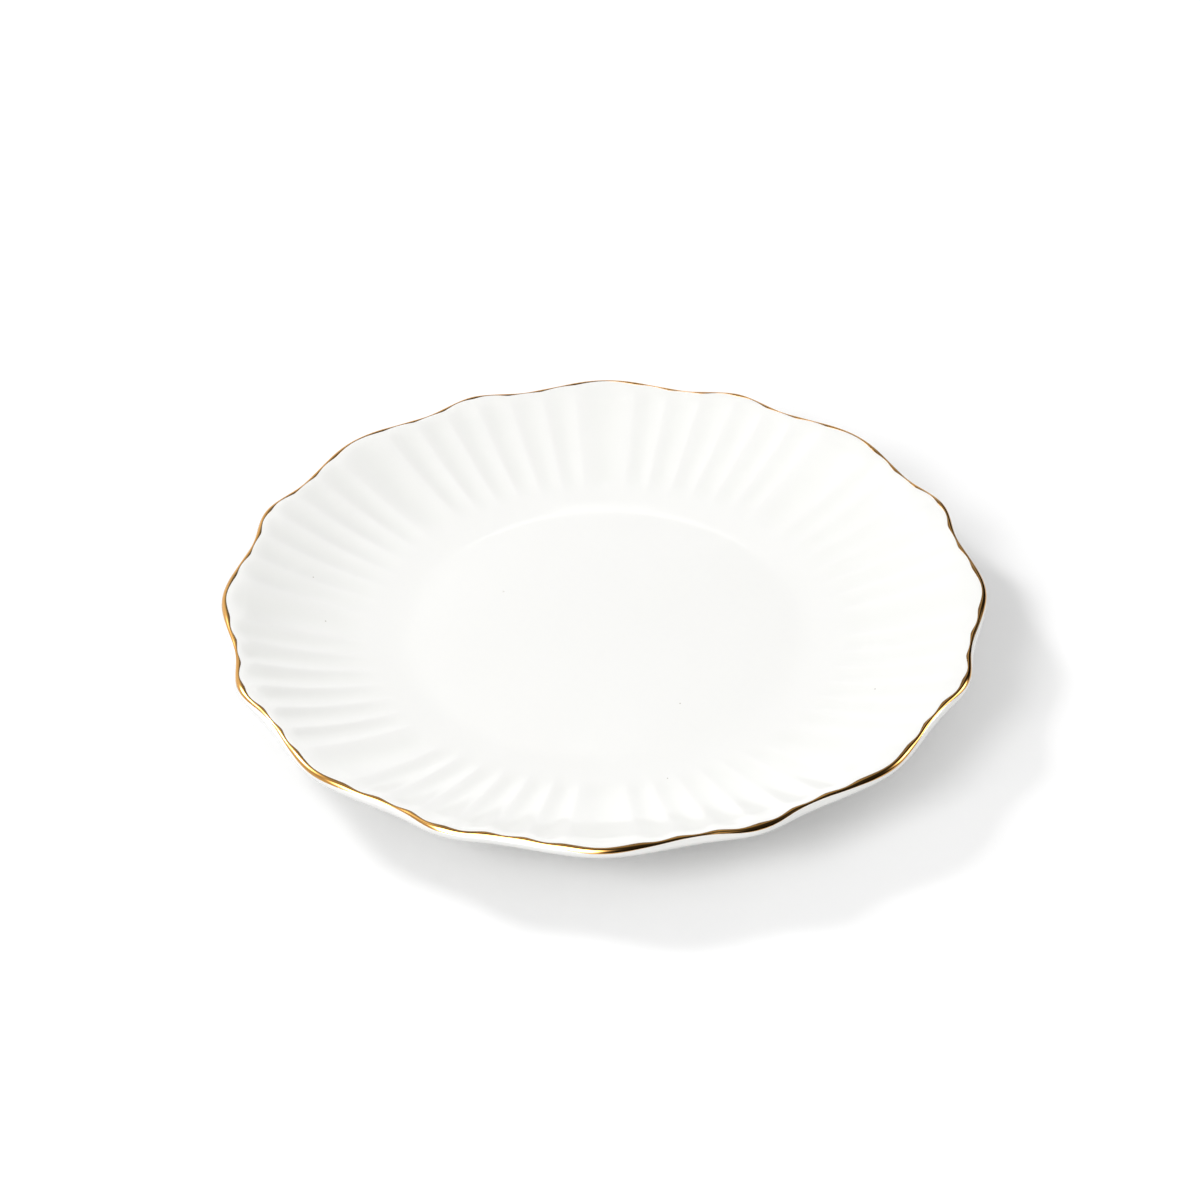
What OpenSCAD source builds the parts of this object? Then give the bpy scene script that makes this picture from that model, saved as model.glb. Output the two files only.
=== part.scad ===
// Scalloped dessert plate: a fluted porcelain dish with a lobed lip, a gilt line and a foot ring.
// The plate's axis is Z, it stands on Z = 0, and one of its large lobes points along +X.

/* [Plate] */
// Diameter across two opposite large lobes
plate_d = 200; // [170:1:240]
// Height of the flute ridges above the table, at the mean radius of the lip
plate_h = 20.5; // [17:0.5:28]
// Thickness of the porcelain under the well
well_t = 4; // [3:0.1:5.5]
// Thickness of the porcelain at the rounded lip
lip_t = 3; // [2:0.1:4]

/* [Well] */
// Diameter of the flat well
well_d = 100; // [90:1:116]
// Width of the hollow curve that leads from the well to the rim
cavetto_w = 4; // [2:0.5:12]
// Width of the outermost part of the rim, which turns outward to the lip
flare_w = 6.5; // [6:0.5:10]
// Steepness where the hollow curve ends, as a share of the steepest place, where the flare begins
cavetto_slope_share = 0.26; // [0.1:0.01:0.8]
// Steepness at the lip, as a share of the same
lip_slope_share = 0.33; // [0.2:0.01:0.8]

/* [Scallops] */
// Large lobes round the lip, with a small lobe between each two of them
lobes = 8; // [6:1:10]
// Depth of the scallops, from the tips of the lobes to the notches beside them
lobe_depth = 2.1; // [0.5:0.05:4]

/* [Flutes] */
// Angle of the broad flute in the middle of each large lobe
broad_angle = 10.2; // [6:0.1:16]
// Narrow flutes between one broad flute and the next
narrow_flutes = 6; // [4:2:8]
// Depth of the broad flutes below the ridges beside them
broad_depth = 0.4; // [0.2:0.02:1.2]
// Depth of the narrow flutes below the ridges beside them
narrow_depth = 0.32; // [0.2:0.02:1.2]
// Distance from the edge of the well to where the flutes begin
flute_gap = 10; // [4:0.5:14]
// Distance over which the flutes deepen
flute_fade = 8; // [6:0.5:20]
// Distance before the rounded lip over which the flutes become shallow again
flute_end = 4; // [2:0.5:10]
// Depth of the flutes at the lip, as a share of their full depth
lip_flute_share = 0.2; // [0:0.05:1]

/* [Gilding] */
// Width of the gilt line on the face, inside the rounded lip
gilt_w = 0.1; // [0.1:0.05:1.5]
// Thickness of the gilding
gilt_t = 0.1; // [0.05:0.01:0.2]

/* [Foot] */
// Height of the foot ring
foot_h = 3.8; // [2:0.1:6]
// Width of the foot ring where it joins the underside
foot_w = 5; // [4:0.1:8]
// Width of the edge that it stands on
foot_edge_w = 2.4; // [1.5:0.1:3]
// Bevel on each side of the standing edge
foot_bevel = 0.4; // [0.2:0.05:0.6]
// Distance from the edge of the flat well in to the outside of the foot ring
foot_inset = 2; // [1:0.1:6]

/* [Hidden] */

// Waves of the lip, as shares of the scallops' depth: once, twice, three and four times in a sector
lobe_wave_shares = [0.19, 0.485, -0.1, 0.045];
// How sharply the flutes meet in their ridges: 1 is a crease, and 2 is a plain wave
flute_bow = 1.5;
// Rings of the face on the rim and the flare, and of the underside of the rim, as shares of their widths
rim_shares = [0, 0.25, 0.5, 0.75, 1];
flare_shares = [0.5];
under_shares = [1, 0.5];
// Directions in which the rounded lip faces, from the horizontal: where the gilding lies, and below it
gilt_turns = [60, 30];
bare_turns = [0, -45];
// Steps across each broad and each narrow flute
broad_steps = 8;
narrow_steps = 6;

sector = 360 / lobes;
narrow_angle = (sector - broad_angle) / narrow_flutes;
well_r = well_d / 2;
well_z = foot_h + well_t;
rim_r = well_r + cavetto_w;
lip_r = plate_d / 2 - lobe_depth * total(lobe_wave_shares);
lip_round = lip_t / 2;
flare_r = lip_r - flare_w;
steepest = (plate_h - well_z) / climb(lip_r);
lip_slope = atan(steepest * lip_slope_share);
face_radii = [well_r, for (s = rim_shares) rim_r + s * (flare_r - rim_r)];
under_radii = [for (s = under_shares) rim_r + s * (flare_r - rim_r), well_r];

// Directions round the plate at which its section is taken
sector_turns = [
    for (i = [0:broad_steps - 1]) (i / broad_steps - 1 / 2) * broad_angle,
    for (i = [0:narrow_flutes * narrow_steps - 1]) broad_angle / 2 + i / narrow_steps * narrow_angle
];
turns = [for (i = [0:lobes - 1]) for (turn = sector_turns) i * sector + turn];

function total(list, i = 0) = i < len(list) ? list[i] + total(list, i + 1) : 0;
function unit(x) = max(0, min(1, x));
function ease(x) = unit(x) * unit(x) * (3 - 2 * unit(x));

// Outermost radius of the lip in a direction
function outline_r(turn) =
    lip_r + lobe_depth * total([for (i = [0:len(lobe_wave_shares) - 1])
        lobe_wave_shares[i] * cos((i + 1) * lobes * turn)]);

// Radius at which the face ends and the rounded lip begins, and at which the lip ends underneath
function face_end_r(turn) = outline_r(turn) - lip_round * (1 + sin(lip_slope));
function under_end_r(turn) = outline_r(turn) - lip_round * (1 - sin(lip_slope));

// Climb over a stretch whose steepness goes evenly from one share of the steepest to another
function ramp(run, width, from_share, to_share) =
    let (x = max(0, min(width, run))) x * from_share + x * x * (to_share - from_share) / (2 * width);

// Climb of the face from the edge of the well to a radius, if the steepest place climbed 1 for 1
function climb(r) =
    ramp(r - well_r, cavetto_w, 0, cavetto_slope_share)
    + ramp(r - rim_r, flare_r - rim_r, cavetto_slope_share, 1)
    + ramp(r - flare_r, flare_w, 1, lip_slope_share)
    + max(0, r - lip_r) * lip_slope_share;

// Angle from the middle of the nearest broad flute
function off_lobe(turn) = abs(turn - sector * round(turn / sector));

// Place across a flute, from -1 on one ridge to 1 on the next
function flute_place(off) =
    off < broad_angle / 2 ? 2 * off / broad_angle
    : 2 * ((off - broad_angle / 2) / narrow_angle - floor((off - broad_angle / 2) / narrow_angle)) - 1;

// Depth of the flutes below the ridges at a radius and in a direction
function groove(r, turn) =
    let (
        off = off_lobe(turn),
        depth = off < broad_angle / 2 ? broad_depth : narrow_depth,
        begins = ease((r - well_r - flute_gap) / flute_fade),
        ends = 1 - (1 - lip_flute_share) * ease(1 + (r - face_end_r(turn)) / flute_end)
    )
    depth * begins * ends * pow(max(0, cos(90 * flute_place(off))), flute_bow);

// Heights of the ridges, of the fluted face and of the smooth underside
function ridge_z(r) = well_z + steepest * climb(r);
function face_z(r, turn) = ridge_z(r) - groove(r, turn);
function under_z(r) =
    ridge_z(r) - well_t - (lip_t / cos(lip_slope) - well_t) * unit((r - well_r) / (lip_r - well_r));

// Points of the section, each as a radius and a height
function face_end(turn) = let (r = face_end_r(turn)) [r, face_z(r, turn)];
function under_end(turn) = let (r = under_end_r(turn)) [r, under_z(r)];
function gilt_start(turn) = let (r = face_end(turn).x - gilt_w) [r, face_z(r, turn)];
function lip_point(turn, facing) =
    let (top = face_end(turn), low = under_end(turn), bend = facing - lip_slope)
    (top + low) / 2 + (top - low) / 2 * sin(bend) + lip_round * [cos(lip_slope), sin(lip_slope)] * cos(bend);

function reversed(list) = [for (i = [len(list) - 1:-1:0]) list[i]];

// The line of the gilding on the porcelain, from the face over the lip
function gilt_line(turn) = [
    gilt_start(turn),
    face_end(turn),
    for (facing = gilt_turns) lip_point(turn, facing)
];
// The same line, raised by the thickness of the gilding
function gilt_top(turn) =
    let (facings = concat([90 + lip_slope, 90 + lip_slope], gilt_turns), line = gilt_line(turn))
    [for (i = [0:len(line) - 1]) line[i] + gilt_t * [cos(facings[i]), sin(facings[i])]];

// Section of the body, from the edge of the well over the face and the lip, and back underneath
function body_section(turn) = [
    for (r = face_radii) [r, face_z(r, turn)],
    for (s = flare_shares) let (r = flare_r + s * (gilt_start(turn).x - flare_r)) [r, face_z(r, turn)],
    for (point = gilt_line(turn)) point,
    for (facing = bare_turns) lip_point(turn, facing),
    under_end(turn),
    for (r = under_radii) [r, under_z(r)]
];
function gilt_section(turn) = concat(gilt_top(turn), reversed(gilt_line(turn)));

function placed(point, turn) = [point.x * cos(turn), point.x * sin(turn), point.y];

// Body of the plate: its sections all round, closed by the flat well above and the flat base below
module porcelain_body() {
    sections = [for (turn = turns) body_section(turn)];
    rings = len(sections[0]);
    count = len(turns);
    middle = count * rings;
    points = concat(
        [for (i = [0:count - 1]) for (point = sections[i]) placed(point, turns[i])],
        [[0, 0, well_z], [0, 0, foot_h]]
    );
    faces = [
        for (i = [0:count - 1]) let (here = i * rings, next = (i + 1) % count * rings) each [
            for (k = [0:rings - 2]) each [
                [here + k, next + k + 1, here + k + 1],
                [here + k, next + k, next + k + 1]
            ],
            [middle, next, here],
            [middle + 1, here + rings - 1, next + rings - 1]
        ]
    ];
    color("whitesmoke") polyhedron(points, faces);
}

// Standing ring under the well, with bevels beside its standing edge
module foot_ring() {
    outer_r = well_r - foot_inset;
    middle_r = outer_r - foot_w / 2;
    color("linen") rotate_extrude($fn = 180) polygon([
        [middle_r - foot_w / 2, foot_h],
        [middle_r - foot_edge_w / 2 - foot_bevel, foot_bevel],
        [middle_r - foot_edge_w / 2, 0],
        [middle_r + foot_edge_w / 2, 0],
        [middle_r + foot_edge_w / 2 + foot_bevel, foot_bevel],
        [outer_r, foot_h]
    ]);
}

// Gilt line, a closed band that lies on the lip
module gilt_band() {
    sections = [for (turn = turns) gilt_section(turn)];
    rings = len(sections[0]);
    count = len(turns);
    points = [for (i = [0:count - 1]) for (point = sections[i]) placed(point, turns[i])];
    faces = [
        for (i = [0:count - 1]) for (k = [0:rings - 1])
            let (here = i * rings, next = (i + 1) % count * rings, after = (k + 1) % rings) each [
                [here + k, next + k, here + after],
                [next + k, next + after, here + after]
            ]
    ];
    color("goldenrod") polyhedron(points, faces);
}

porcelain_body();
foot_ring();
gilt_band();
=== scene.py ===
"""Looks of the scalloped dessert plate: fine fluted meshes, glaze, gold, studio light and camera."""
import math

import bpy
import numpy as np
from mathutils import Matrix, Vector


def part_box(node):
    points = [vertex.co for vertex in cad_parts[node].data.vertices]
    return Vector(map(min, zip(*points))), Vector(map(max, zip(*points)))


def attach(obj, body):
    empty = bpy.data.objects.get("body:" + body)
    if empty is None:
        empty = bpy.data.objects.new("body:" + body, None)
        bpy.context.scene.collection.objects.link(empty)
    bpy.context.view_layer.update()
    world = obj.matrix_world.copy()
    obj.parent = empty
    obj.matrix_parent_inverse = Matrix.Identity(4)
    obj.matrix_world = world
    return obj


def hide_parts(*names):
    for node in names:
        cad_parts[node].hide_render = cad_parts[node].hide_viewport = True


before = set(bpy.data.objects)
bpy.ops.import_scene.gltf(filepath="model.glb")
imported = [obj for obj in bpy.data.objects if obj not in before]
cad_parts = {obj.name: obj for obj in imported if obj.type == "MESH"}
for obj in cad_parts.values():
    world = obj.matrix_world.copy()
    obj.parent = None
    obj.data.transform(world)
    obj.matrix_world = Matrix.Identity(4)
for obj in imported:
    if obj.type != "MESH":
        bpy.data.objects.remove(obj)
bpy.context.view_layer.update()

MM = 0.001
WHITE = (1, 1, 1, 1)

# Sizes of the plate that the frame gives
BODY_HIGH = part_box("porcelain_body")[1]
FOOT_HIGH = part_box("foot_ring")[1]
PLATE_R = BODY_HIGH[0]
BASE_Z = FOOT_HIGH[2]
FOOT_R = FOOT_HIGH[0]

# Sizes of the plate that its source names
PLATE_H = 20.5 * MM
WELL_T = 4.0 * MM
LIP_T = 3.0 * MM
CAVETTO_W = 4.0 * MM
FLARE_W = 6.5 * MM
CAVETTO_SLOPE_SHARE = 0.26
LIP_SLOPE_SHARE = 0.33
LOBES = 8
LOBE_DEPTH = 2.1 * MM
LOBE_WAVE_SHARES = (0.19, 0.485, -0.1, 0.045)
BROAD_ANGLE = math.radians(10.2)
NARROW_FLUTES = 6
BROAD_DEPTH = 0.4 * MM
NARROW_DEPTH = 0.32 * MM
FLUTE_GAP = 10.0 * MM
FLUTE_FADE = 8.0 * MM
FLUTE_BOW = 1.5
FLUTE_END = 4.0 * MM
LIP_FLUTE_SHARE = 0.2
FOOT_W = 5.0 * MM
FOOT_EDGE_W = 2.4 * MM
FOOT_BEVEL = 0.4 * MM
FOOT_INSET = 2.0 * MM

SECTOR = 2 * math.pi / LOBES
NARROW_ANGLE = (SECTOR - BROAD_ANGLE) / NARROW_FLUTES
WELL_R = FOOT_R + FOOT_INSET
WELL_Z = BASE_Z + WELL_T
RIM_R = WELL_R + CAVETTO_W
LIP_R = PLATE_R - LOBE_DEPTH * sum(LOBE_WAVE_SHARES)
FLARE_R = LIP_R - FLARE_W
LIP_ROUND = LIP_T / 2

# Steps of the fine meshes, across each flute and along the section
BROAD_STEPS = 36
NARROW_STEPS = 20
WELL_RINGS = 6
CAVETTO_RINGS = 12
RIM_RINGS = 24
FLARE_RINGS = 12
LIP_RINGS = 20
UNDER_RINGS = 30

# Shape of the plate


def ease(x):
    x = np.clip(x, 0.0, 1.0)
    return x * x * (3 - 2 * x)


def ramp(run, width, from_share, to_share):
    """Climb over a stretch whose steepness goes evenly from one share of the steepest to another."""
    x = np.clip(run, 0.0, width)
    return x * from_share + x * x * (to_share - from_share) / (2 * width)


def climb(r):
    """Climb of the face from the edge of the well, if the steepest place climbed 1 for 1."""
    return (
        ramp(r - WELL_R, CAVETTO_W, 0.0, CAVETTO_SLOPE_SHARE)
        + ramp(r - RIM_R, FLARE_R - RIM_R, CAVETTO_SLOPE_SHARE, 1.0)
        + ramp(r - FLARE_R, FLARE_W, 1.0, LIP_SLOPE_SHARE)
        + np.maximum(0.0, r - LIP_R) * LIP_SLOPE_SHARE
    )


STEEPEST = (PLATE_H - WELL_Z) / float(climb(np.array(LIP_R)))
LIP_SLOPE = math.atan(STEEPEST * LIP_SLOPE_SHARE)


def outline_r(turn):
    """Outermost radius of the lip in a direction."""
    waves = sum(share * np.cos((i + 1) * LOBES * turn) for i, share in enumerate(LOBE_WAVE_SHARES))
    return LIP_R + LOBE_DEPTH * waves


def face_end_r(turn):
    return outline_r(turn) - LIP_ROUND * (1 + math.sin(LIP_SLOPE))


def under_end_r(turn):
    return outline_r(turn) - LIP_ROUND * (1 - math.sin(LIP_SLOPE))


def off_lobe(turn):
    """Angle from the middle of the nearest broad flute."""
    return np.abs(turn - SECTOR * np.round(turn / SECTOR))


def flute_place(turn):
    """Place across a flute, from -1 on one ridge to 1 on the next."""
    off = off_lobe(turn)
    steps = (off - BROAD_ANGLE / 2) / NARROW_ANGLE
    narrow_place = 2 * (steps - np.floor(steps)) - 1
    return np.where(off < BROAD_ANGLE / 2, 2 * off / BROAD_ANGLE, narrow_place)


def hollow(turn):
    """How far down a flute is, from 0 on its ridges to 1 in its middle."""
    return np.maximum(0.0, np.cos(flute_place(turn) * math.pi / 2)) ** FLUTE_BOW


def groove(r, turn):
    """Depth of the flutes below the ridges beside them."""
    depth = np.where(off_lobe(turn) < BROAD_ANGLE / 2, BROAD_DEPTH, NARROW_DEPTH)
    begins = ease((r - WELL_R - FLUTE_GAP) / FLUTE_FADE)
    ends = 1 - (1 - LIP_FLUTE_SHARE) * ease(1 + (r - face_end_r(turn)) / FLUTE_END)
    return depth * begins * ends * hollow(turn)


def ridge_z(r):
    return WELL_Z + STEEPEST * climb(r)


def face_z(r, turn):
    return ridge_z(r) - groove(r, turn)


def under_z(r):
    thinning = np.clip((r - WELL_R) / (LIP_R - WELL_R), 0.0, 1.0)
    return ridge_z(r) - WELL_T - (LIP_T / math.cos(LIP_SLOPE) - WELL_T) * thinning


def lip_point(turn, facing):
    """Radius and height of the rounded lip where it faces a direction, an angle above the horizontal."""
    top_r = face_end_r(turn)
    low_r = under_end_r(turn)
    top_z = face_z(top_r, turn)
    low_z = under_z(low_r)
    swing = np.sin(facing - LIP_SLOPE)
    out = LIP_ROUND * np.cos(facing - LIP_SLOPE)
    r = (top_r + low_r) / 2 + (top_r - low_r) / 2 * swing + out * math.cos(LIP_SLOPE)
    z = (top_z + low_z) / 2 + (top_z - low_z) / 2 * swing + out * math.sin(LIP_SLOPE)
    return r, z


# Meshes


def fine_turns():
    """Directions round the plate, with the ridges and the middles of the flutes among them."""
    steps = [(i / BROAD_STEPS - 0.5) * BROAD_ANGLE for i in range(BROAD_STEPS)]
    for i in range(NARROW_FLUTES * NARROW_STEPS):
        steps.append(BROAD_ANGLE / 2 + i / NARROW_STEPS * NARROW_ANGLE)
    return np.array([lobe * SECTOR + step for lobe in range(LOBES) for step in steps])


TURNS = fine_turns()


def spread(start, end, count):
    """Values in even steps, from the first one after the start to the end."""
    return [start + (end - start) * i / count for i in range(1, count + 1)]


def ring_mesh(name, rings, top=None, low=None, closed=False):
    """Mesh of rings, whose radius and height are each one number or one for every direction.

    A height for top or low closes that end with a point on the axis.
    A closed mesh joins its last ring to its first.
    """
    count = len(TURNS)
    places = []
    for r, z in rings:
        heights = np.broadcast_to(z, (count,))
        places.append(np.stack([r * np.cos(TURNS), r * np.sin(TURNS), heights], 1))
    points = [tuple(p) for p in np.concatenate(places)]
    faces = []
    for k in range(len(rings) if closed else len(rings) - 1):
        here = k * count
        after = (k + 1) % len(rings) * count
        for i in range(count):
            j = (i + 1) % count
            faces.append((here + i, after + i, after + j, here + j))
    if top is not None:
        points.append((0.0, 0.0, top))
        faces += [(len(points) - 1, i, (i + 1) % count) for i in range(count)]
    if low is not None:
        base = (len(rings) - 1) * count
        points.append((0.0, 0.0, low))
        faces += [(len(points) - 1, base + (i + 1) % count, base + i) for i in range(count)]
    mesh = bpy.data.meshes.new(name)
    mesh.from_pydata(points, [], faces)
    mesh.validate()
    mesh.shade_smooth()
    piece = bpy.data.objects.new(name, mesh)
    bpy.context.scene.collection.objects.link(piece)
    return piece


def add_values(piece, name, rings):
    """Gives the points of the first rings the values listed for them, and all other points zero."""
    values = np.zeros(len(piece.data.vertices))
    for k, ring in enumerate(rings):
        values[k * len(TURNS):(k + 1) * len(TURNS)] = ring
    piece.data.attributes.new(name, "FLOAT", "POINT").data.foreach_set("value", values)


# Short ways to build shaders


class Nodes:
    """Node tree of a material or a world."""

    def __init__(self, tree):
        self.tree = tree

    def add(self, kind):
        return self.tree.nodes.new(kind)

    def set(self, node, socket, value):
        """Links a socket to another node's result, or sets it to a constant."""
        if isinstance(value, bpy.types.NodeSocket):
            self.tree.links.new(value, node.inputs[socket])
        else:
            node.inputs[socket].default_value = value

    def math(self, operation, *values):
        node = self.add("ShaderNodeMath")
        node.operation = operation
        for socket, value in enumerate(values):
            self.set(node, socket, value)
        return node.outputs["Value"]

    def span(self, value, source, target=(0.0, 1.0), smooth=False):
        """Value taken from one range to another, and held there."""
        node = self.add("ShaderNodeMapRange")
        if smooth:
            node.interpolation_type = "SMOOTHSTEP"
        self.set(node, "Value", value)
        for socket, number in zip(("From Min", "From Max", "To Min", "To Max"), (*source, *target)):
            self.set(node, socket, number)
        return node.outputs["Result"]


class Shading(Nodes):
    """Material with a Principled shader."""

    def __init__(self, name):
        self.material = bpy.data.materials.new(name)
        self.material.use_nodes = True
        super().__init__(self.material.node_tree)
        self.shader = self.tree.nodes["Principled BSDF"]

    def shade(self, **values):
        for socket, value in values.items():
            self.set(self.shader, socket.replace("_", " "), value)

    def place(self):
        return self.add("ShaderNodeTexCoord").outputs["Object"]

    def apart(self, vector):
        node = self.add("ShaderNodeSeparateXYZ")
        self.set(node, "Vector", vector)
        return node.outputs

    def attribute(self, name):
        node = self.add("ShaderNodeAttribute")
        node.attribute_name = name
        return node.outputs["Fac"]

    def noise(self, vector, scale, detail=2.0):
        node = self.add("ShaderNodeTexNoise")
        self.set(node, "Vector", vector)
        self.set(node, "Scale", scale)
        self.set(node, "Detail", detail)
        return node.outputs["Fac"]

    def mix(self, share, first, second):
        """Mix of two colours, whose sockets share their names with others and so go by number."""
        node = self.add("ShaderNodeMix")
        node.data_type = "RGBA"
        self.set(node, 0, share)
        self.set(node, 6, first)
        self.set(node, 7, second)
        return node.outputs[2]

    def bump(self, height, depth, below=None):
        node = self.add("ShaderNodeBump")
        self.set(node, "Distance", depth)
        self.set(node, "Height", height)
        if below is not None:
            self.set(node, "Normal", below)
        return node.outputs["Normal"]


# Materials: scales of noise are per metre, and most values of a noise lie within its span
NOISE_SPAN = (0.3, 0.7)

GLAZE_LIGHT = (0.885, 0.884, 0.866, 1)
GLAZE_DARK = (0.865, 0.863, 0.843, 1)
# Glaze colour towards the middle of each flute, darker and greener
GLAZE_GROOVE_TINT = (0.852, 0.856, 0.828, 1)
GLAZE_GROOVE_TINT_SHARE = 0.5
GLAZE_IOR = 1.52
GLAZE_TONE_SCALE = 22.0
GLAZE_SMOOTH_SCALE = 90.0
GLAZE_ROUGHNESS = (0.045, 0.085)
GLAZE_WAVE_SCALE = 38.0
GLAZE_WAVE_DETAIL = 1.0
GLAZE_WAVE_DEPTH = 0.06 * MM
GLAZE_PITS_SCALE = 420.0
GLAZE_PITS_DETAIL = 3.0
GLAZE_PITS_DEPTH = 0.003 * MM

SPECK_COLOUR = (0.3, 0.26, 0.2, 1)
SPECK_GAP = 16.0 * MM
SPECK_R = 0.22 * MM
SPECK_CORE_SHARE = 0.4
SPECKED_SHARE = 0.14

GOLD_DARK = (0.48, 0.245, 0.065, 1)
GOLD_LIGHT = (0.68, 0.375, 0.115, 1)
# Painted dark reflection at the inner edge of the gold
GOLD_PAINTED_DARK = (0.12, 0.066, 0.022, 1)
GOLD_PAINTED_DARK_SHARE = 0.85
GOLD_ROUGHNESS = (0.04, 0.08)
STREAK_SPREAD = 60.0 * MM
STREAK_SCALE = 110.0
STREAK_DETAIL = 3.0
STREAK_DEPTH = 0.0003 * MM

BARE_H = 0.7 * MM
BARE_LINE_SCALE = 160.0
BARE_LINE = (0.7 * BARE_H, 1.3 * BARE_H)
BARE_FADE = (-0.1 * BARE_H, 0.1 * BARE_H)
BISCUIT_DARK = (0.7, 0.66, 0.57, 1)
BISCUIT_LIGHT = (0.8, 0.77, 0.69, 1)
BISCUIT_TONE_SPAN = (0.35, 0.65)
BISCUIT_ROUGHNESS = (0.65, 0.85)
GRAIN_SCALE = 2600.0
GRAIN_DETAIL = 4.0
GRAIN_DEPTH = 0.05 * MM


def add_glaze(shading, place):
    """Colour, roughness and normal of clear glaze, each a little uneven."""
    colour = shading.mix(shading.noise(place, GLAZE_TONE_SCALE), GLAZE_DARK, GLAZE_LIGHT)
    roughness = shading.span(shading.noise(place, GLAZE_SMOOTH_SCALE), NOISE_SPAN, GLAZE_ROUGHNESS)
    waves = shading.noise(place, GLAZE_WAVE_SCALE, GLAZE_WAVE_DETAIL)
    pits = shading.noise(place, GLAZE_PITS_SCALE, GLAZE_PITS_DETAIL)
    normal = shading.bump(pits, GLAZE_PITS_DEPTH, shading.bump(waves, GLAZE_WAVE_DEPTH))
    return colour, roughness, normal


def porcelain_material():
    """White body under clear glaze, which is darker and greener towards the middle of each flute, with a few
    iron specks.
    """
    shading = Shading("glazed_porcelain")
    place = shading.place()
    colour, roughness, normal = add_glaze(shading, place)
    # Glaze made darker and greener towards the middle of each flute
    groove_tint = shading.math("MULTIPLY", shading.attribute("groove_share"), GLAZE_GROOVE_TINT_SHARE)
    colour = shading.mix(groove_tint, colour, GLAZE_GROOVE_TINT)
    cells = shading.add("ShaderNodeTexVoronoi")
    cells.voronoi_dimensions = "2D"
    shading.set(cells, "Vector", place)
    shading.set(cells, "Scale", 1 / SPECK_GAP)
    edge = (SPECK_R / SPECK_GAP, SPECK_CORE_SHARE * SPECK_R / SPECK_GAP)
    near = shading.span(cells.outputs["Distance"], edge)
    chosen = shading.math("LESS_THAN", cells.outputs["Color"], SPECKED_SHARE)
    colour = shading.mix(shading.math("MULTIPLY", near, chosen), colour, SPECK_COLOUR)
    shading.shade(Base_Color=colour, Roughness=roughness, IOR=GLAZE_IOR, Normal=normal)
    return shading.material


def gold_material():
    """Fired gold put on by brush: streaks along the line, and a painted dark reflection that makes its inner
    edge browner.
    """
    shading = Shading("fired_gold")
    place = shading.apart(shading.place())
    along = shading.add("ShaderNodeCombineXYZ")
    shading.set(along, "X", place["X"])
    shading.set(along, "Y", place["Y"])
    shading.set(along, "Z", shading.math("MULTIPLY", shading.attribute("across"), STREAK_SPREAD))
    streaks = shading.noise(along.outputs["Vector"], STREAK_SCALE, STREAK_DETAIL)
    colour = shading.mix(shading.span(streaks, NOISE_SPAN), GOLD_DARK, GOLD_LIGHT)
    # Painted dark reflection mixed into the inner edge of the gold
    painted_dark = shading.math("MULTIPLY", shading.attribute("painted_dark"), GOLD_PAINTED_DARK_SHARE)
    colour = shading.mix(painted_dark, colour, GOLD_PAINTED_DARK)
    roughness = shading.span(streaks, NOISE_SPAN, GOLD_ROUGHNESS)
    normal = shading.bump(streaks, STREAK_DEPTH)
    shading.shade(Base_Color=colour, Metallic=1.0, Roughness=roughness, Normal=normal)
    return shading.material


def foot_material():
    """Glazed sides, and grainy bare biscuit on the standing edge, where the glaze was wiped off by hand."""
    shading = Shading("foot_glaze_and_biscuit")
    place = shading.place()
    colour, roughness, normal = add_glaze(shading, place)
    line = shading.span(shading.noise(place, BARE_LINE_SCALE), NOISE_SPAN, BARE_LINE)
    above = shading.math("SUBTRACT", shading.apart(place)["Z"], line)
    glazed = shading.span(above, BARE_FADE)
    bare = shading.math("SUBTRACT", 1.0, glazed)
    grain = shading.noise(place, GRAIN_SCALE, GRAIN_DETAIL)
    biscuit = shading.mix(shading.span(grain, BISCUIT_TONE_SPAN), BISCUIT_DARK, BISCUIT_LIGHT)
    dull = shading.span(grain, NOISE_SPAN, BISCUIT_ROUGHNESS)
    grain_depth = shading.span(glazed, (0.0, 1.0), (GRAIN_DEPTH, 0.0))
    blend = shading.math(
        "ADD", shading.math("MULTIPLY", glazed, roughness), shading.math("MULTIPLY", bare, dull)
    )
    shading.shade(
        Base_Color=shading.mix(glazed, biscuit, colour),
        Roughness=blend,
        IOR=GLAZE_IOR,
        Normal=shading.bump(grain, grain_depth, normal),
    )
    return shading.material


# Body


def add_body():
    """Well, rim, rounded lip and underside in one mesh, with the depth of the flutes kept for the glaze."""
    face_radii = (
        spread(0.0, WELL_R, WELL_RINGS)
        + spread(WELL_R, RIM_R, CAVETTO_RINGS)
        + spread(RIM_R, FLARE_R, RIM_RINGS)
        + spread(FLARE_R, face_end_r(TURNS), FLARE_RINGS)
    )
    lip_facings = spread(LIP_SLOPE + math.pi / 2, LIP_SLOPE - math.pi / 2, LIP_RINGS)
    under_radii = spread(under_end_r(TURNS), WELL_R, UNDER_RINGS)
    rings = [(r, face_z(r, TURNS)) for r in face_radii]
    rings += [lip_point(TURNS, facing) for facing in lip_facings]
    rings += [(r, under_z(r)) for r in under_radii]
    body = ring_mesh("plate_porcelain", rings, top=WELL_Z, low=BASE_Z)
    add_values(body, "groove_share", [groove(r, TURNS) / NARROW_DEPTH for r in face_radii])
    body.data.materials.append(porcelain_material())
    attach(body, "root")
    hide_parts("porcelain_body")


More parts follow.
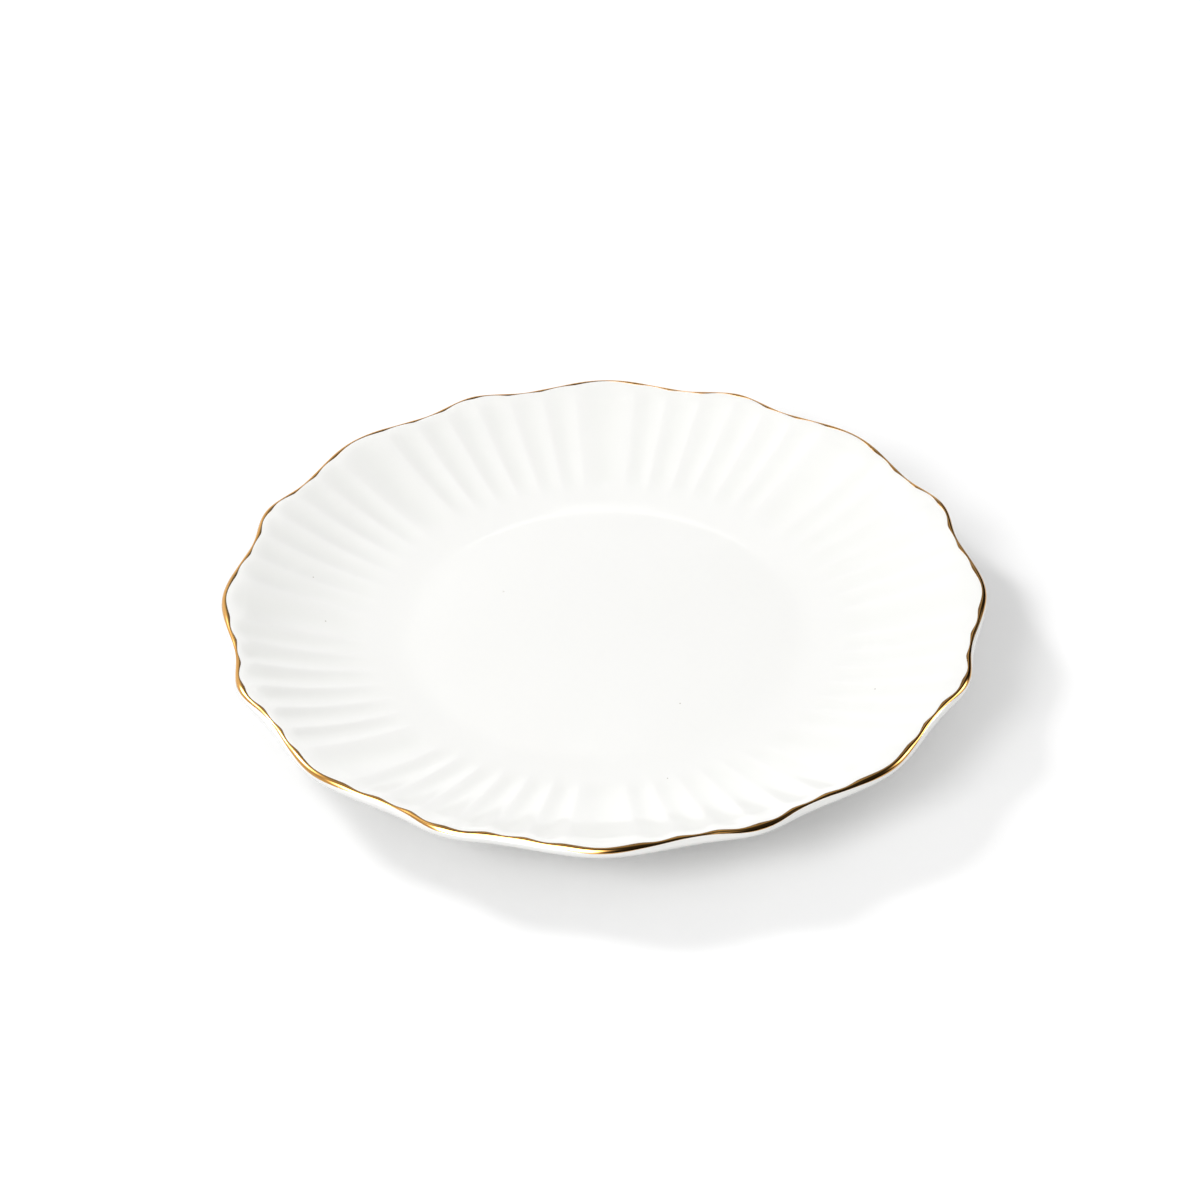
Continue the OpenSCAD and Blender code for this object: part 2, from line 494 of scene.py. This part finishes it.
# Gilding: its edges are directions in which the rounded lip faces, above the horizontal
GILT_LIFT = 0.03 * MM
GILT_DOME_SHARE = 0.06
GILT_RINGS = 18
GILT_BACK_STEP = 3
GILT_TOP = math.radians(93)
GILT_TOP_WAVE = math.radians(20)
GILT_LOW_LOBE = math.radians(22)
GILT_LOW_NOTCH = math.radians(58)
GILT_PAINTED_DARK_SHARE = 0.3
GILT_PAINTED_DARK_WAVE = 0.6
GILT_PAINTED_DARK_FADE = 0.16


def gilt_point(facing, lift):
    r, z = lip_point(TURNS, facing)
    return r + lift * np.cos(facing), z + lift * np.sin(facing)


def add_gilding():
    """Slightly domed line of gold on the lip, lower on the lobes and wavering inside with the flutes."""
    outline = outline_r(TURNS)
    reach = (outline - outline.min()) / np.ptp(outline)
    low = GILT_LOW_NOTCH + (GILT_LOW_LOBE - GILT_LOW_NOTCH) * reach
    down = hollow(TURNS)
    top = GILT_TOP + GILT_TOP_WAVE * (0.5 - down)
    dome = GILT_DOME_SHARE * LIP_ROUND * (top - low)
    shares = [i / GILT_RINGS for i in range(GILT_RINGS + 1)]
    facings = [top + (low - top) * s for s in shares]
    rings = []
    for facing, s in zip(facings, shares):
        rings.append(gilt_point(facing, GILT_LIFT + dome * 4 * s * (1 - s)))
    rings += [gilt_point(facing, -GILT_LIFT) for facing in facings[::-GILT_BACK_STEP]]
    gilding = ring_mesh("gilt_line", rings, closed=True)
    # Painted dark reflection along the inner edge of the gold, wider on the ridges than in the middles of
    # the flutes
    painted_dark_share = GILT_PAINTED_DARK_SHARE * (1 - GILT_PAINTED_DARK_WAVE * down)
    add_values(gilding, "across", [np.full(len(TURNS), s) for s in shares])
    add_values(gilding, "painted_dark", [ease((painted_dark_share - s) / GILT_PAINTED_DARK_FADE + 0.5) for s in shares])
    gilding.data.materials.append(gold_material())
    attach(gilding, "root")
    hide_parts("gilt_band")


# Foot ring
FOOT_SIDE_RINGS = 10
FOOT_EDGE_RINGS = 6
FOOT_FLARE = 1.2


def add_foot():
    """Lathed standing ring: hollow sides that flare into the underside, and a rounded standing edge."""
    middle_r = FOOT_R - FOOT_W / 2
    low_w = FOOT_EDGE_W / 2 + FOOT_BEVEL
    side = []
    for i in range(FOOT_SIDE_RINGS + 1):
        s = i / FOOT_SIDE_RINGS
        out = FOOT_W / 2 + (low_w - FOOT_W / 2) * s ** (1 / FOOT_FLARE)
        side.append((out, BASE_Z + (FOOT_BEVEL - BASE_Z) * s))
    for bend in spread(0.0, math.pi / 2, FOOT_EDGE_RINGS):
        out = FOOT_EDGE_W / 2 + FOOT_BEVEL * math.cos(bend)
        side.append((out, FOOT_BEVEL * (1 - math.sin(bend))))
    rings = [(middle_r + out, z) for out, z in side]
    rings += [(middle_r - out, z) for out, z in side[::-1]]
    foot = ring_mesh("standing_ring", rings, closed=True)
    foot.data.materials.append(foot_material())
    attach(foot, "root")
    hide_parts("foot_ring")


# Camera: fitted to the lip in the photograph
CAMERA_AZIMUTH = math.radians(1.01)
CAMERA_ELEVATION = math.radians(37.73)
CAMERA_DISTANCE = 797.2 * MM
CAMERA_ROLL = math.radians(1.164)
CAMERA_CLIP = 10.0 * MM
PICTURE_PX = 1200
FOCAL_PX = 3051
LIP_CENTRE_PX = (603.4, 591.36)
SENSOR_W = 36.0


def add_camera():
    """Camera that shows the middle of the lip at its pixel in the photograph."""
    centre = Vector((0, 0, PLATE_H))
    right = Vector((math.cos(CAMERA_AZIMUTH), math.sin(CAMERA_AZIMUTH), 0))
    ahead = Vector((-math.sin(CAMERA_AZIMUTH), math.cos(CAMERA_AZIMUTH), 0))
    back = -ahead * math.cos(CAMERA_ELEVATION) + Vector((0, 0, math.sin(CAMERA_ELEVATION)))
    up = back.cross(right)
    place = centre + back * CAMERA_DISTANCE
    across = right * math.cos(CAMERA_ROLL) - up * math.sin(CAMERA_ROLL)
    along = up * math.cos(CAMERA_ROLL) + right * math.sin(CAMERA_ROLL)
    size_px = CAMERA_DISTANCE / FOCAL_PX
    aside = (LIP_CENTRE_PX[0] - PICTURE_PX / 2) * size_px
    below = (LIP_CENTRE_PX[1] - PICTURE_PX / 2) * size_px
    aim = centre - across * aside + along * below
    back = (place - aim).normalized()
    across = along.cross(back).normalized()
    along = back.cross(across)
    data = bpy.data.cameras.new("camera")
    data.sensor_width = SENSOR_W
    data.lens = SENSOR_W * FOCAL_PX / PICTURE_PX
    data.clip_start = CAMERA_CLIP
    camera = bpy.data.objects.new("camera", data)
    axes = Matrix((across, along, back)).transposed().to_4x4()
    camera.matrix_world = Matrix.Translation(place) @ axes
    bpy.context.scene.collection.objects.link(camera)
    bpy.context.scene.camera = camera


# Floor: white where it is seen or mirrored, and grey for the light that it throws back
FLOOR_HALF_W = 6.0
FLOOR_BOUNCE = (0.66, 0.66, 0.66, 1)
FLOOR_ROUGHNESS = 0.9
FLOOR_GLOW = 0.02


def add_floor():
    w = FLOOR_HALF_W
    mesh = bpy.data.meshes.new("floor")
    mesh.from_pydata([(-w, -w, 0), (w, -w, 0), (w, w, 0), (-w, w, 0)], [], [(0, 1, 2, 3)])
    floor = bpy.data.objects.new("floor", mesh)
    bpy.context.scene.collection.objects.link(floor)
    shading = Shading("white_floor")
    path = shading.add("ShaderNodeLightPath").outputs
    seen = shading.math("MAXIMUM", path["Is Camera Ray"], path["Is Glossy Ray"])
    seen = shading.math("MAXIMUM", seen, path["Is Transmission Ray"])
    glow = shading.math("MULTIPLY", seen, FLOOR_GLOW)
    colour = shading.mix(seen, FLOOR_BOUNCE, WHITE)
    shading.shade(Base_Color=colour, Roughness=FLOOR_ROUGHNESS, Specular_IOR_Level=0.0)
    shading.shade(Emission_Color=WHITE, Emission_Strength=glow)
    mesh.materials.append(shading.material)


# Lamps: name, degrees round the plate and above the table, distance, width and height, and level
LAMPS = (
    ("back_key", 149, 40, 2.4, (0.5, 0.5), 0.34),
    ("front_key", 225, 37, 2.4, (1.0, 1.0), 0.39),
    ("back_glow", 91.2, 45.75, 3.0, (0.13, 0.44), 0.0019),
)


def add_lamp(name, turn_deg, height_deg, distance, size, level):
    """Soft lamp that aims at the plate; its level is what it adds to a white surface that faces it."""
    turn = math.radians(turn_deg)
    height = math.radians(height_deg)
    flat = math.cos(height)
    direction = Vector((math.cos(turn) * flat, math.sin(turn) * flat, math.sin(height)))
    data = bpy.data.lights.new(name, "AREA")
    data.shape = "RECTANGLE"
    data.size, data.size_y = size
    data.energy = level * (math.pi * distance) ** 2
    lamp = bpy.data.objects.new(name, data)
    lamp.location = direction * distance
    lamp.rotation_euler = direction.to_track_quat("Z", "Y").to_euler()
    bpy.context.scene.collection.objects.link(lamp)


# Ways that the dome's light comes from, and how bright and how narrow each is: first as soft light, then as
# mirrored in the glaze and the gold, by walls that end at the right and by spots. Each is held at BOX_LEVEL,
# so that the strongest spots have an even face like a soft box
SOFT = (
    ((0, 1, 0), 0.3, 1.0),
    ((0, -0.954, 0.3), 0.72, 1.0),
    ((-1, 0, 0), 0.2, 1.0),
    ((0.914, 0.407, 0), 1.0, 1.0),
    ((0, 0, 1), 0.165, 1.0),
)
WALLS = (
    ((0, 1, 0), 1.1, 1.2),
    ((-1, 0, 0), 1.0, 1.5),
)
WALL_END = (0.18, 0.34)
SPOTS = (
    ((-0.413, -0.492, 0.766), 250.0, 40.0),
    ((-0.47, -0.814, 0.342), 150.0, 40.0),
    ((-0.657, 0.394, 0.643), 18.0, 70.0),
    ((0.872, 0.245, 0.418), 14.0, 60.0),
    ((-0.104, 0.986, 0.131), 0.5, 45.0),
    ((0, 0, 1), 0.04, 1.0),
)
BOX_LEVEL = 12.0
RIGHT = (1, 0, 0)


class Dome(Nodes):
    """World whose brightness in each direction is a sum of lobes, one for each way that light comes from."""

    def __init__(self, name):
        self.world = bpy.data.worlds.new(name)
        self.world.use_nodes = True
        super().__init__(self.world.node_tree)
        self.direction = self.add("ShaderNodeTexCoord").outputs["Generated"]

    def toward(self, way):
        """How far a direction points a certain way, from -1 to 1."""
        node = self.add("ShaderNodeVectorMath")
        node.operation = "DOT_PRODUCT"
        self.set(node, 0, self.direction)
        self.set(node, 1, way)
        return node.outputs["Value"]

    def lobes(self, ways):
        total = 0.0
        for way, level, narrowness in ways:
            lobe = self.math("POWER", self.math("MAXIMUM", self.toward(way), 0.0), narrowness)
            held = self.math("MINIMUM", self.math("MULTIPLY", lobe, level), BOX_LEVEL)
            total = self.math("ADD", held, total)
        return total


def set_world():
    dome = Dome("studio")
    wall_share = dome.span(dome.toward(RIGHT), WALL_END, (1.0, 0.0), smooth=True)
    mirrored = dome.math("MULTIPLY_ADD", dome.lobes(WALLS), wall_share, dome.lobes(SPOTS))
    soft = dome.lobes(SOFT)
    change = dome.math("SUBTRACT", mirrored, soft)
    glossy = dome.add("ShaderNodeLightPath").outputs["Is Glossy Ray"]
    background = dome.tree.nodes["Background"]
    dome.set(background, "Color", WHITE)
    dome.set(background, "Strength", dome.math("MULTIPLY_ADD", change, glossy, soft))
    bpy.context.scene.world = dome.world


add_body()
add_gilding()
add_foot()
add_camera()
add_floor()
for lamp in LAMPS:
    add_lamp(*lamp)
set_world()
bpy.context.scene.view_settings.view_transform = "Standard"
